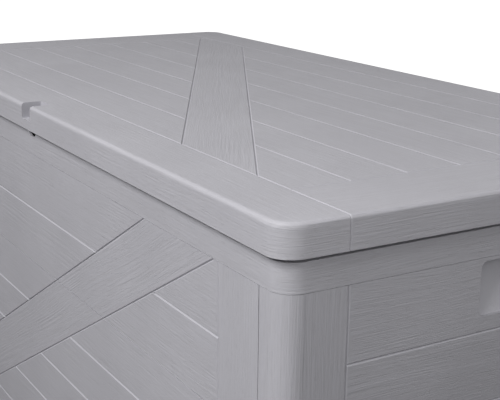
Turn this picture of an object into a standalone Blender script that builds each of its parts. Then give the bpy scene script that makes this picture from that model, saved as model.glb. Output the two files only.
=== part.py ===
"""Deck storage box: wood-grain polypropylene panels on a ribbed floor tray, under a rim with a hinged lid.

Metres, +Z up. X runs along the length, the front faces -Y, and the origin is on the ground under the
middle foot. Panels, rim and tray clip and screw together. The lid turns about three pinned hinges at the
back. Every board joint is a V-groove cut in the moulding's face.
"""

import math

import bmesh
import bpy
from mathutils import Matrix, Vector

# Overall sizes, taken over the lid
LENGTH = 1.450
DEPTH = 0.725
HEIGHT = 0.640

# Clearances between pieces
GAP = 0.0003
SEAM = 0.0010
RIM_SEAM = 0.0005

# Lid
LID_SKIRT = 0.038
LID_WALL = 0.0035
LID_CORNER = 0.031
LID_EDGE = 0.0055
LID_RIB = 0.0025
RIB_BITE = 0.0005
LID_CELL = 0.140
LID_FRONT_BORDER = 0.083
LID_END_BORDER = 0.112
LID_BOARD = 0.0796
LID_BRACE_WIDTH = 0.092
LID_BRACE_SLOPE = 0.562
LID_BRACE_SHIFT = -0.0475

# Padlock recess in the lid, and the slot below it
NOTCH_WIDTH = 0.036
NOTCH_DEPTH = 0.033
NOTCH_LIP = 0.015
NOTCH_EDGE = 0.004
SHACKLE_HOLE = (0.018, 0.010)
SHACKLE_SETBACK = 0.0185
SLOT_WIDTH = 0.028
SLOT_DROP = 0.012
SLOT_RISE = 0.003
SLOT_CORNER = 0.0072
SLOT_REACH = 0.004
SLOT_SURROUND = 0.008
SHACKLE_CORNER = 0.003

# Steel tubes that stiffen the lid
TUBE_SIDE = 0.020
TUBE_WALL = 0.0015
TUBE_OFFSET = 0.165
TUBE_END_SPACE = 0.030
TUBE_LIFT = 0.001

# Body: panels, rim and tray
OVERHANG = 0.009
WALL = 0.0035
BODY_CORNER = 0.027
RIB = 0.0025
PANEL_CELL = 0.134
RETURN = 0.018
TONGUE_INSET = 0.0075
TONGUE = 0.0025
TONGUE_SPACE = 0.002
PADLOCK_SPACE = 0.008
END_RIB_SHARE = 0.62
JOINT_SCREW_SHARES = (0.78, 0.25)
PANEL_FOOT = 0.010
POST_WRAP = 0.045
HOOK = 0.003
HOOK_REACH = 0.006
LAP = 0.012

# Rim
BAND = 0.040
RIM_CAP = 0.010
RIM_STEP = 0.008
RIM_STEP_DROP = 0.0064
RIM_CHANNEL = 0.0135
RIM_INNER_DROP = 0.042

# Boards on the body's faces
GROOVE = 0.0032
FINE_GROOVE = 0.0022
UPPER_BOARD = 0.0893
LOWER_BOARD = 0.0760
END_BOARD = 0.086
POST_FACE = 0.081
BRACE_WIDTH = 0.088
BRACE_SLOPE = 0.5675

# Handle recess in each end
HANDLE_WIDTH = 0.185
HANDLE_HEIGHT = 0.066
HANDLE_DEPTH = 0.036
HANDLE_TOE = 0.004
HANDLE_CORNER = 0.009
HANDLE_DROP = 0.004
HANDLE_PROUD = 0.004

# Floor tray
LEDGE = 0.0037
LEDGE_SETBACK = 0.001
FLOOR_STEP = 0.0225
FLOOR_TOP = 0.034
FLOOR_WALL = 0.004
FLOOR_RIB = 0.003
FLOOR_CELL_X = 0.139
FLOOR_CELL_Y = 0.111
FOOT_HEIGHT = 0.006
FOOT_RADIUS = 0.028
FOOT_INSET = 0.030
FOOT_BITE = 0.003

# Hinges
HINGE_SPREAD = 0.480
HINGE_WIDTH = 0.070
HINGE_LEAF = 0.003
HINGE_BARREL = 0.0065
HINGE_TUCK = 0.0025
HINGE_RISE = 0.0005
LEAF_MARGIN = 0.003
ARM_MARGIN = (0.004, 0.001)
KNUCKLE = 0.025
KNUCKLE_GAP = 0.0005
PIN_RADIUS = 0.0025
PIN_HEAD = (0.0042, 0.002)
PIN_TAIL = 0.001
PIN_CHAMFER = 0.0006
STOP_REACH = 0.0135
STOP_DROP = 0.0028
STOP_ROOT = 0.001
OPEN_ANGLE = 100.0

# Screws
SHANK_RADIUS = 0.0020
HEAD_RADIUS = 0.0042
HEAD_HEIGHT = 0.0024
HEAD_RIM = 0.00096
SCREW_LENGTH = 0.0075
JOINT_SCREW_LENGTH = 0.0100
HINGE_SCREW_SPACING = 0.044

# Finishes: linear colour, roughness, metallic
POLYPROPYLENE = ((0.40, 0.39, 0.41), 0.55, 0.0)
HINGE_NYLON = ((0.20, 0.20, 0.21), 0.50, 0.0)
GALVANISED = ((0.55, 0.56, 0.58), 0.40, 1.0)
STAINLESS = ((0.62, 0.61, 0.59), 0.30, 1.0)

# Levels and half sizes that follow from the above
HALF_X = LENGTH / 2
HALF_Y = DEPTH / 2
BODY_X = HALF_X - OVERHANG
BODY_Y = HALF_Y - OVERHANG
LID_BOTTOM = HEIGHT - LID_SKIRT
RIM_TOP = LID_BOTTOM + RIM_CAP
RIM_LEDGE = LID_BOTTOM - RIM_STEP_DROP
RIM_BOTTOM = LID_BOTTOM - BAND
PANEL_TOP = RIM_BOTTOM - RIM_SEAM
SPLIT_Z = RIM_BOTTOM - 2 * UPPER_BOARD
SEAM_X = BODY_X - POST_WRAP
FIELD_X = SEAM_X - END_BOARD
FIELD_MIDDLE = (RIM_BOTTOM + PANEL_FOOT) / 2
LID_FIELD_X = HALF_X - LID_END_BORDER
LID_FIELD_Y = HALF_Y - LID_FRONT_BORDER
NOTCH_FLOOR = LID_BOTTOM + NOTCH_LIP
HINGE_Y = HALF_Y + HINGE_BARREL - HINGE_TUCK
HINGE_Z = LID_BOTTOM + HINGE_RISE - HINGE_BARREL
TONGUE_TOP = RIM_LEDGE - WALL - TONGUE_SPACE

# Facets of a rounded corner, a turned piece, a knuckle and a screw hole
ARC = 5
TURN_STEPS = 12
BARREL_SIDES = 16
HOLE_SIDES = 12

# How far a cutter runs past what it cuts: well clear, or within a thin wall's reach
FAR = 0.05
NEAR = 0.010


# ---------------------------------------------------------------- scene and helpers

def clear_scene():
    for obj in list(bpy.data.objects):
        bpy.data.objects.remove(obj, do_unlink=True)


def new_collection(name, parent, helper=False):
    made = bpy.data.collections.new(name)
    parent.children.link(made)
    made.hide_render = helper
    return made


clear_scene()
PARTS = new_collection("deck_storage_box", bpy.context.scene.collection)
HELPERS = new_collection("cutters_and_additions", bpy.context.scene.collection, helper=True)


def finish_of(name, finish):
    colour, roughness, metallic = finish
    made = bpy.data.materials.new(name)
    made.use_nodes = True
    shader = made.node_tree.nodes["Principled BSDF"]
    shader.inputs["Base Color"].default_value = (*colour, 1.0)
    shader.inputs["Roughness"].default_value = roughness
    shader.inputs["Metallic"].default_value = metallic
    made.diffuse_color = (*colour, 1.0)
    return made


def object_from(bm, name):
    bmesh.ops.recalc_face_normals(bm, faces=bm.faces)
    mesh = bpy.data.meshes.new(name)
    bm.to_mesh(mesh)
    bm.free()
    return bpy.data.objects.new(name, mesh)


def as_part(obj, finish, smooth=False):
    PARTS.objects.link(obj)
    obj.data.materials.clear()
    obj.data.materials.append(finish_of(obj.name, finish))
    if smooth:
        obj.data.shade_smooth()
        obj.data.set_sharp_from_angle(angle=math.radians(40))
    return obj


def as_helper(obj, collection):
    collection.objects.link(obj)
    obj.hide_render = True
    obj.display_type = "WIRE"
    return obj


def helpers_for(part, role):
    return new_collection(f"{part}.{role}", HELPERS, helper=True)


def boolean(obj, operation, collection):
    modifier = obj.modifiers.new(operation.lower(), "BOOLEAN")
    modifier.operation = operation
    modifier.solver = "EXACT"
    modifier.operand_type = "COLLECTION"
    modifier.collection = collection


def assemble(obj, additions=(), cutters=()):
    """Joins the additions to the piece, and then takes the cutters out of it."""
    for operation, role, shapes in (("UNION", "additions", additions), ("DIFFERENCE", "cutters", cutters)):
        if not shapes:
            continue
        group = helpers_for(obj.name, role)
        for shape in shapes:
            as_helper(shape, group)
        boolean(obj, operation, group)


def turned_copy(source, name, finish):
    """The finished piece again, half a turn about Z, as from the same mould."""
    bpy.context.view_layer.update()
    graph = bpy.context.evaluated_depsgraph_get()
    mesh = bpy.data.meshes.new_from_object(source.evaluated_get(graph))
    mesh.name = name
    copy = bpy.data.objects.new(name, mesh)
    copy.matrix_world = Matrix.Rotation(math.pi, 4, "Z") @ source.matrix_world
    return as_part(copy, finish)


# ---------------------------------------------------------------- shapes

def block(name, low, high):
    low, high = Vector(low), Vector(high)
    bm = bmesh.new()
    size = Matrix.Diagonal((*(high - low), 1.0))
    bmesh.ops.create_cube(bm, size=1.0, matrix=Matrix.Translation((low + high) / 2) @ size)
    return object_from(bm, name)


def upright_edges(bm):
    return [e for e in bm.edges if abs(e.verts[0].co.z - e.verts[1].co.z) > 1e-5]


def edges_at(bm, level):
    return [e for e in bm.edges if all(abs(v.co.z - level) < 1e-6 for v in e.verts)]


def outline(name, half_x, half_y, corner, bottom, top, edge=0.0):
    """A block with rounded upright corners and, if edge is given, a rounded rim round its top."""
    bm = bmesh.new()
    size = Matrix.Diagonal((2 * half_x, 2 * half_y, top - bottom, 1.0))
    bmesh.ops.create_cube(bm, size=1.0, matrix=Matrix.Translation((0, 0, (bottom + top) / 2)) @ size)
    bmesh.ops.bevel(bm, geom=upright_edges(bm), offset=corner, segments=ARC, profile=0.5, affect="EDGES")
    if edge:
        bmesh.ops.bevel(bm, geom=edges_at(bm, top), offset=edge, segments=4, profile=0.5, affect="EDGES")
    return object_from(bm, name)


def body_outline(name, inset, bottom, top):
    return outline(name, BODY_X - inset, BODY_Y - inset, BODY_CORNER - inset, bottom, top)


def ring(name, outer_inset, inner_inset, bottom, top):
    """A wall that follows the body's outline."""
    made = body_outline(name, outer_inset, bottom, top)
    assemble(made, cutters=[body_outline(f"{name}.bore", inner_inset, bottom - FAR, top + FAR)])
    return made


def rod(name, radius, start, end, sides=16):
    start, end = Vector(start), Vector(end)
    along = end - start
    turn = Vector((0, 0, 1)).rotation_difference(along).to_matrix().to_4x4()
    bm = bmesh.new()
    bmesh.ops.create_cone(
        bm, cap_ends=True, segments=sides, radius1=radius, radius2=radius, depth=along.length,
        matrix=Matrix.Translation((start + end) / 2) @ turn,
    )
    return object_from(bm, name)


def rounded_block(name, low, high, axis, radius):
    """A block whose four edges along one axis are rounded."""
    made = block(name, low, high)
    bm = bmesh.new()
    bm.from_mesh(made.data)
    along = [e for e in bm.edges if abs((e.verts[0].co - e.verts[1].co)[axis]) > 1e-5]
    bmesh.ops.bevel(bm, geom=along, offset=radius, segments=4, profile=0.5, affect="EDGES")
    bm.to_mesh(made.data)
    bm.free()
    return made


def groove(name, path, width=GROOVE):
    """A V-groove cutter along a path of (point, outward normal): a square bar, edge on to the surface."""
    reach = width / 2
    bm = bmesh.new()
    rows = []
    for i, (point, normal) in enumerate(path):
        point, normal = Vector(point), Vector(normal).normalized()
        before = Vector(path[max(i - 1, 0)][0])
        after = Vector(path[min(i + 1, len(path) - 1)][0])
        side = (after - before).normalized().cross(normal)
        offsets = (normal * reach, side * reach, -normal * reach, -side * reach)
        rows.append([bm.verts.new(point + offset) for offset in offsets])
    for near, far in zip(rows, rows[1:]):
        for k in range(4):
            bm.faces.new((near[k], near[(k + 1) % 4], far[(k + 1) % 4], far[k]))
    bm.faces.new(rows[0])
    bm.faces.new(rows[-1])
    return object_from(bm, name)


def turned(name, profile, start, direction):
    """A turned piece: (radius, distance) points down its outer side, about an axis from start."""
    mesh = bpy.data.meshes.new(name)
    points = [(radius, 0.0, along) for radius, along in profile]
    mesh.from_pydata(points, [(i, i + 1) for i in range(len(points) - 1)], [])
    made = bpy.data.objects.new(name, mesh)
    made.location = start
    made.rotation_mode = "QUATERNION"
    made.rotation_quaternion = Vector((0, 0, 1)).rotation_difference(Vector(direction))
    screw = made.modifiers.new("turn", "SCREW")
    screw.axis = "Z"
    screw.steps = screw.render_steps = TURN_STEPS
    screw.use_merge_vertices = True
    screw.merge_threshold = 0.00001
    screw.use_smooth_shade = False
    return made


# ---------------------------------------------------------------- board layout

def brace_offset(width, slope):
    """Half of a sloping brace's width, measured level."""
    return width / 2 * math.hypot(1, slope) / slope


def split_by_brace(low, high, middle, half):
    """The stretches of a level groove that the brace leaves, as (start, end) pairs."""
    left = (low, min(high, middle - half))
    right = (max(low, middle + half), high)
    return [(a, b) for a, b in (left, right) if b - a > GROOVE]


def board_levels():
    """Heights of the joints between boards on the body, from the rim down, leaving out the panel seam."""
    levels = [RIM_BOTTOM - UPPER_BOARD]
    level = SPLIT_Z - LOWER_BOARD
    while level > PANEL_FOOT + LOWER_BOARD / 2:
        levels.append(level)
        level -= LOWER_BOARD
    return levels


def front_face_grooves():
    """Grooves in the front: level board joints broken by the brace, its two edges, and the end boards."""
    y = -BODY_Y
    out = (0, -1, 0)
    half = brace_offset(BRACE_WIDTH, BRACE_SLOPE)
    made = []
    for i, z in enumerate(board_levels()):
        middle = (z - FIELD_MIDDLE) / BRACE_SLOPE
        for j, (a, b) in enumerate(split_by_brace(-FIELD_X, FIELD_X, middle, half)):
            made.append(groove(f"board_joint_{i}_{j}", [((a, y, z), out), ((b, y, z), out)]))
    for side in (-1, 1):
        x = side * FIELD_X
        path = [((x, y, PANEL_FOOT - FAR), out), ((x, y, RIM_BOTTOM + FAR), out)]
        made.append(groove(f"end_board_joint_{side}", path))
        foot_z = max(PANEL_FOOT - FAR, FIELD_MIDDLE + BRACE_SLOPE * (-FIELD_X - side * half))
        head_z = min(RIM_BOTTOM + FAR, FIELD_MIDDLE + BRACE_SLOPE * (FIELD_X - side * half))
        ends = [((z - FIELD_MIDDLE) / BRACE_SLOPE + side * half, y, z) for z in (foot_z, head_z)]
        made.append(groove(f"brace_edge_{side}", [(end, out) for end in ends]))
    return made


def end_face_grooves():
    """Grooves in an end: level board joints between the two corner posts, and the posts' edges."""
    x = BODY_X
    out = (1, 0, 0)
    post = BODY_Y - POST_FACE
    made = []
    for i, z in enumerate([*board_levels(), SPLIT_Z]):
        made.append(groove(f"end_joint_{i}", [((x, -post, z), out), ((x, post, z), out)]))
    for side in (-1, 1):
        path = [((x, side * post, PANEL_FOOT - FAR), out), ((x, side * post, RIM_BOTTOM + FAR), out)]
        made.append(groove(f"post_joint_{side}", path))
    return made


def border_path(y):
    """Up one end of the lid, over its rounded edge, along the top and down the other end."""
    path = [((-HALF_X, y, LID_BOTTOM - FAR), (-1, 0, 0))]
    middle_x, middle_z = HALF_X - LID_EDGE, HEIGHT - LID_EDGE
    for side, angles in ((-1, range(90, -1, -15)), (1, range(0, 91, 15))):
        for degrees in angles:
            angle = math.radians(degrees)
            normal = (side * math.sin(angle), 0, math.cos(angle))
            point = (side * (middle_x + LID_EDGE * math.sin(angle)), y, middle_z + LID_EDGE * normal[2])
            path.append((point, normal))
    path.append(((HALF_X, y, LID_BOTTOM - FAR), (1, 0, 0)))
    return path


def lid_grooves():
    out = (0, 0, 1)
    z = HEIGHT
    half = brace_offset(LID_BRACE_WIDTH, LID_BRACE_SLOPE)
    count = round(2 * LID_FIELD_Y / LID_BOARD)
    pitch = 2 * LID_FIELD_Y / count
    made = []
    for side in (-1, 1):
        made.append(groove(f"border_joint_{side}", border_path(side * LID_FIELD_Y), FINE_GROOVE))
        x = side * LID_FIELD_X
        ends = [(x, -LID_FIELD_Y, z), (x, LID_FIELD_Y, z)]
        made.append(groove(f"end_border_joint_{side}", [(end, out) for end in ends]))
        shift = LID_BRACE_SHIFT + side * half
        tail_x = max(-LID_FIELD_X, shift - LID_FIELD_Y / LID_BRACE_SLOPE)
        head_x = min(LID_FIELD_X, shift + LID_FIELD_Y / LID_BRACE_SLOPE)
        ends = [(x, (shift - x) * LID_BRACE_SLOPE, z) for x in (tail_x, head_x)]
        made.append(groove(f"brace_edge_{side}", [(end, out) for end in ends]))
    for i in range(1, count):
        y = -LID_FIELD_Y + i * pitch
        middle = LID_BRACE_SHIFT - y / LID_BRACE_SLOPE
        for j, (a, b) in enumerate(split_by_brace(-LID_FIELD_X, LID_FIELD_X, middle, half)):
            path = [((a, y, z), out), ((b, y, z), out)]
            made.append(groove(f"lid_joint_{i}_{j}", path, FINE_GROOVE))
    return made


# ---------------------------------------------------------------- joint screws

def panel_screw_heights():
    """Heights of the screws that join each corner post to the upper and lower panels."""
    lower = SPLIT_Z - PANEL_FOOT
    return [(SPLIT_Z + PANEL_TOP) / 2, *(PANEL_FOOT + share * lower for share in JOINT_SCREW_SHARES)]


def panel_screw_line():
    """The X that a joint screw's head seats on, and the Y of its axis, at the front right corner."""
    return SEAM_X - SEAM / 2 - WALL, -BODY_Y + (WALL + RETURN) / 2


def panel_screw_holes(x_side, y_side):
    """The holes of one corner's joint screws, with x_side and y_side the signs of that corner's place."""
    seat, y = panel_screw_line()
    made = []
    for i, z in enumerate(panel_screw_heights()):
        ends = [(x_side * (seat + reach), -y_side * y, z) for reach in (-NEAR, 2 * NEAR)]
        name = f"joint_screw_hole_{x_side}_{y_side}_{i}"
        made.append(rod(name, SHANK_RADIUS + GAP, *ends, sides=HOLE_SIDES))
    return made


def screw_profile(length):
    return [
        (0.0, HEAD_HEIGHT),
        (HEAD_RADIUS, HEAD_RIM),
        (HEAD_RADIUS, 0.0),
        (SHANK_RADIUS, 0.0),
        (SHANK_RADIUS, -length),
        (0.0, -length),
    ]


def make_panel_screws():
    seat, y = panel_screw_line()
    names = ("upper", "middle", "lower")
    for x_side, x_name in ((-1, "left"), (1, "right")):
        for y_side, y_name in ((-1, "front"), (1, "back")):
            for label, z in zip(names, panel_screw_heights()):
                start = (x_side * (seat - GAP), -y_side * y, z)
                name = f"panel_screw_{y_name}_{x_name}_{label}"
                screw = turned(name, screw_profile(JOINT_SCREW_LENGTH), start, (-x_side, 0, 0))
                as_part(screw, STAINLESS)


# ---------------------------------------------------------------- floor tray

def make_base_tray():
    step_x, step_y = BODY_X - FLOOR_STEP, BODY_Y - FLOOR_STEP
    count_x = 2 * math.ceil(step_x / FLOOR_CELL_X)
    count_y = 2 * math.ceil(step_y / FLOOR_CELL_Y)
    pitch_x, pitch_y = 2 * step_x / count_x, 2 * step_y / count_y
    tray = body_outline("base_tray", LEDGE_SETBACK, FOOT_HEIGHT, FOOT_HEIGHT + LEDGE)
    raised = body_outline("raised_floor", FLOOR_STEP, FOOT_HEIGHT, FLOOR_TOP)
    cells = []
    for i in range(count_x):
        for j in range(count_y):
            x, y = -step_x + i * pitch_x, -step_y + j * pitch_y
            low = (x + FLOOR_RIB / 2, y + FLOOR_RIB / 2, FOOT_HEIGHT - FAR)
            high = (x + pitch_x - FLOOR_RIB / 2, y + pitch_y - FLOOR_RIB / 2, FLOOR_TOP - FLOOR_WALL)
            low = (max(low[0], FLOOR_WALL - step_x), max(low[1], FLOOR_WALL - step_y), low[2])
            high = (min(high[0], step_x - FLOOR_WALL), min(high[1], step_y - FLOOR_WALL), high[2])
            cells.append(block(f"cell_{i}_{j}", low, high))
    assemble(tray, [raised], cells)
    foot_x, foot_y = BODY_X - FOOT_INSET, BODY_Y - FOOT_INSET
    feet = helpers_for("base_tray", "feet")
    for x in (-foot_x, 0, foot_x):
        for y in (-foot_y, 0, foot_y):
            top = FOOT_HEIGHT + FOOT_BITE
            as_helper(rod(f"foot_{x:.2f}_{y:.2f}", FOOT_RADIUS, (x, y, 0), (x, y, top), sides=24), feet)
    boolean(tray, "UNION", feet)
    as_part(tray, POLYPROPYLENE)


# ---------------------------------------------------------------- front and back panels

def wall_panel(name, bottom, top, upper):
    """A long wall moulding: its skin, the returns round its edges, upright ribs, and the tongue on top."""
    half = SEAM_X - SEAM / 2
    face, back = -BODY_Y, -BODY_Y + RETURN
    skin_in = face + WALL
    panel = block(name, (-half, face, bottom), (half, skin_in, top))
    foot = bottom + (LAP + SEAM if upper else 0)
    additions = []
    for label, z in (("foot_return", foot), ("top_return", top - WALL)):
        additions.append(block(label, (-half, skin_in - WALL / 2, z), (half, back, z + WALL)))
    for side, label in ((-1, "left_return"), (1, "right_return")):
        x = sorted((side * half, side * (half - WALL)))
        additions.append(block(label, (x[0], skin_in - WALL / 2, foot), (x[1], back, top)))
    count = math.ceil(2 * half / PANEL_CELL)
    for i in range(1, count):
        x = -half + 2 * half * i / count
        low = (x - RIB / 2, skin_in - WALL / 2, foot + WALL / 2)
        additions.append(block(f"rib_{i}", low, (x + RIB / 2, back - WALL, top - WALL / 2)))
    inset = TONGUE_INSET if upper else WALL + GAP
    tongue_top = TONGUE_TOP if upper else top + SEAM + LAP - 2 * GAP
    end = half - 2 * WALL
    low = (-end, face + inset, top - WALL / 2)
    additions.append(block("tongue", low, (end, face + inset + TONGUE, tongue_top)))
    cutters = front_face_grooves() + panel_screw_holes(-1, -1) + panel_screw_holes(1, -1)
    if upper:
        reach = NOTCH_WIDTH / 2 + PADLOCK_SPACE
        low = (-reach, face + WALL + GAP, PANEL_TOP + 2 * SEAM)
        cutters.append(block("padlock_space", low, (reach, back, TONGUE_TOP + FAR)))
    assemble(panel, additions, cutters)
    return as_part(panel, POLYPROPYLENE)


def make_wall_panels():
    lower = wall_panel("front_panel_lower", PANEL_FOOT, SPLIT_Z - SEAM / 2, upper=False)
    upper = wall_panel("front_panel_upper", SPLIT_Z + SEAM / 2, PANEL_TOP, upper=True)
    turned_copy(lower, "back_panel_lower", POLYPROPYLENE)
    turned_copy(upper, "back_panel_upper", POLYPROPYLENE)


# ---------------------------------------------------------------- end panels

def handle_wedge(name, grow, depth):
    """The handle recess: deep under its top edge, with a floor that slopes out to the face below."""
    top = PANEL_TOP - HANDLE_DROP + grow
    bottom = top - HANDLE_HEIGHT - 2 * grow
    half = HANDLE_WIDTH / 2 + grow
    face = BODY_X + (HANDLE_PROUD if not grow else -WALL / 2)
    wedge = block(name, (BODY_X - depth, -half, bottom), (face, half, top))
    bm = bmesh.new()
    bm.from_mesh(wedge.data)
    inner = BODY_X - depth
    for v in bm.verts:
        if abs(v.co.x - inner) < 1e-6 and v.co.z < (top + bottom) / 2:
            v.co.x = BODY_X - HANDLE_TOE - grow
    corners = [e for e in bm.edges if abs((e.verts[0].co - e.verts[1].co).normalized().x) > 0.1]
    corners = [e for e in corners if abs((e.verts[0].co - e.verts[1].co).y) < 1e-6]
    level = [e for e in corners if abs((e.verts[0].co - e.verts[1].co).z) < 1e-6]
    bmesh.ops.bevel(bm, geom=level, offset=HANDLE_CORNER + grow, segments=4, profile=0.5, affect="EDGES")
    bm.to_mesh(wedge.data)
    bm.free()
    return wedge


def make_end_panels():
    """A moulding that wraps both corners of one end, with returns where it meets the long walls."""
    start = SEAM_X + SEAM / 2
    inner = BODY_Y - RETURN
    panel = ring("end_panel_right", 0, WALL, PANEL_FOOT, PANEL_TOP)
    far_side = block("far_side", (-HALF_X - FAR, -HALF_Y, -FAR), (start, HALF_Y, HEIGHT))
    half_cut = helpers_for("end_panel_right", "other_end")
    as_helper(far_side, half_cut)
    boolean(panel, "DIFFERENCE", half_cut)
    additions = [handle_wedge("handle_shell", WALL, HANDLE_DEPTH + WALL)]
    post = BODY_Y - POST_FACE
    rib_x = (BODY_X - RETURN + WALL, BODY_X - WALL / 2)
    for side in (-1, 1):
        flange_y = sorted((side * (BODY_Y - WALL / 2), side * (inner - HOOK - 2 * GAP)))
        low = (start, flange_y[0], PANEL_FOOT)
        additions.append(block(f"seam_return_{side}", low, (start + WALL, flange_y[1], PANEL_TOP)))
        hook_y = sorted((side * (inner - 2 * GAP), side * (inner - HOOK - 2 * GAP)))
        low = (SEAM_X - HOOK_REACH, hook_y[0], PANEL_FOOT)
        additions.append(block(f"seam_hook_{side}", low, (start + WALL / 2, hook_y[1], PANEL_TOP)))
        for label, away in (("post_rib", post), ("wall_rib", END_RIB_SHARE * post)):
            low = (rib_x[0], side * away - RIB / 2, PANEL_FOOT + WALL / 2)
            high = (rib_x[1], side * away + RIB / 2, PANEL_TOP - WALL / 2)
            additions.append(block(f"{label}_{side}", low, high))
    return_x = (BODY_X - RETURN, BODY_X - WALL / 2)
    reach = BODY_Y - BODY_CORNER
    for label, z in (("foot_return", PANEL_FOOT), ("top_return", PANEL_TOP - WALL)):
        additions.append(block(label, (return_x[0], -reach, z), (return_x[1], reach, z + WALL)))
    low = (rib_x[0], -RIB / 2, PANEL_FOOT + WALL / 2)
    high = (rib_x[1], RIB / 2, PANEL_TOP - HANDLE_DROP - HANDLE_HEIGHT)
    additions.append(block("middle_rib", low, high))
    tongue_x = BODY_X - TONGUE_INSET
    low = (tongue_x - TONGUE, -reach, PANEL_TOP - WALL / 2)
    additions.append(block("tongue", low, (tongue_x, reach, TONGUE_TOP)))
    cutters = [handle_wedge("handle_recess", 0, HANDLE_DEPTH)]
    cutters += end_face_grooves() + panel_screw_holes(1, -1) + panel_screw_holes(1, 1)
    assemble(panel, additions, cutters)
    as_part(panel, POLYPROPYLENE)
    turned_copy(panel, "end_panel_left", POLYPROPYLENE)


# ---------------------------------------------------------------- rim

def hinge_centres():
    return [("left", -HINGE_SPREAD), ("centre", 0.0), ("right", HINGE_SPREAD)]


def hinge_screw_points(x, surface, height):
    return [(x + side * HINGE_SCREW_SPACING / 2, surface, height) for side in (-1, 1)]


def bracket_screw_height():
    return (RIM_BOTTOM + HINGE_Z - HINGE_BARREL) / 2


def arm_screw_height():
    return (arm_bottom() + arm_top()) / 2


def arm_bottom():
    return LID_BOTTOM + ARM_MARGIN[0]


def arm_top():
    return HEIGHT - LID_EDGE - ARM_MARGIN[1]


def hinge_screw_holes(surface, height):
    made = []
    for label, x in hinge_centres():
        for i, point in enumerate(hinge_screw_points(x, surface, height)):
            start = (point[0], point[1] - NEAR, point[2])
            end = (point[0], point[1] + NEAR, point[2])
            made.append(rod(f"screw_hole_{label}_{i}", SHANK_RADIUS + GAP, start, end, sides=HOLE_SIDES))
    return made


def shackle_way(bottom, top):
    """The upright way for a padlock's shackle, through the notch's floor and the rim."""
    width, depth = SHACKLE_HOLE
    y = -HALF_Y + SHACKLE_SETBACK
    low = (-width / 2, y - depth / 2, bottom)
    return rounded_block("shackle_hole", low, (width / 2, y + depth / 2, top), 2, SHACKLE_CORNER)


def make_rim():
    """The band round the box, stepped back under the lid's edge except at the padlock slot.

    A channel below takes the tongues of the wall panels.
    """
    inner = 2 * WALL + RIM_CHANNEL
    rim = ring("top_rim", 0, inner, RIM_BOTTOM, RIM_LEDGE)
    riser = ring("riser", RIM_STEP, inner, RIM_LEDGE - WALL, RIM_TOP)
    channel = ring("channel", WALL, WALL + RIM_CHANNEL, RIM_BOTTOM - FAR, RIM_LEDGE - WALL)
    under_riser = ring("under_riser", RIM_STEP + WALL, WALL + RIM_CHANNEL, RIM_BOTTOM - FAR, RIM_TOP - WALL)
    inner_bottom = RIM_TOP - RIM_INNER_DROP
    trim = body_outline("inner_trim", WALL + RIM_CHANNEL / 2, RIM_BOTTOM - FAR, inner_bottom)
    low = (-SLOT_WIDTH / 2, -BODY_Y - NEAR, LID_BOTTOM - SLOT_DROP)
    high = (SLOT_WIDTH / 2, -BODY_Y + WALL + SLOT_REACH, LID_BOTTOM + SLOT_RISE)
    slot = rounded_block("padlock_slot", low, high, 1, SLOT_CORNER)
    half = SLOT_WIDTH / 2 + SLOT_SURROUND
    low = (-half, -BODY_Y, RIM_LEDGE - WALL)
    boss = block("lock_boss", low, (half, -BODY_Y + RIM_STEP + WALL / 2, RIM_TOP))
    low = (WALL - half, WALL - BODY_Y, RIM_BOTTOM - FAR)
    space = block("boss_space", low, (half - WALL, WALL + RIM_CHANNEL - BODY_Y, RIM_TOP - WALL))
    shackle = shackle_way(RIM_TOP - 2 * WALL, RIM_TOP + FAR)
    holes = hinge_screw_holes(BODY_Y, bracket_screw_height())
    assemble(rim, [riser, boss], [channel, under_riser, space, trim, slot, shackle, *holes])
    as_part(rim, POLYPROPYLENE)


# ---------------------------------------------------------------- lid

def lid_ribs():
    """A grid of ribs under the lid, down to the rim that it rests on."""
    inset = LID_WALL - RIB_BITE
    bottom, top = RIM_TOP + GAP, HEIGHT - inset
    reach_x, reach_y = HALF_X - inset, HALF_Y - inset
    made = []
    for reach, cross, axis in ((reach_x, reach_y, 0), (reach_y, reach_x, 1)):
        count = math.ceil(2 * reach / LID_CELL)
        for i in range(1, count):
            at = -reach + 2 * reach * i / count
            spans = [(at - LID_RIB / 2, at + LID_RIB / 2), (-cross, cross)]
            x, y = spans if axis == 0 else spans[::-1]
            made.append(block(f"rib_{axis}_{i}", (x[0], y[0], bottom), (x[1], y[1], top)))
    return made


def tube_levels():
    low = RIM_TOP + GAP + TUBE_LIFT
    return low, low + TUBE_SIDE


def notch_shell():
    half = NOTCH_WIDTH / 2 + LID_WALL
    inset = LID_WALL - RIB_BITE
    low = (-half, -HALF_Y + inset, NOTCH_FLOOR - LID_WALL)
    return block("notch_shell", low, (half, -HALF_Y + NOTCH_DEPTH + LID_WALL, HEIGHT - inset))


def notch_space():
    half = NOTCH_WIDTH / 2
    low = (-half, -HALF_Y - FAR, NOTCH_FLOOR)
    return rounded_block("notch_space", low, (half, -HALF_Y + NOTCH_DEPTH, HEIGHT + FAR), 2, NOTCH_EDGE)


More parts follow.
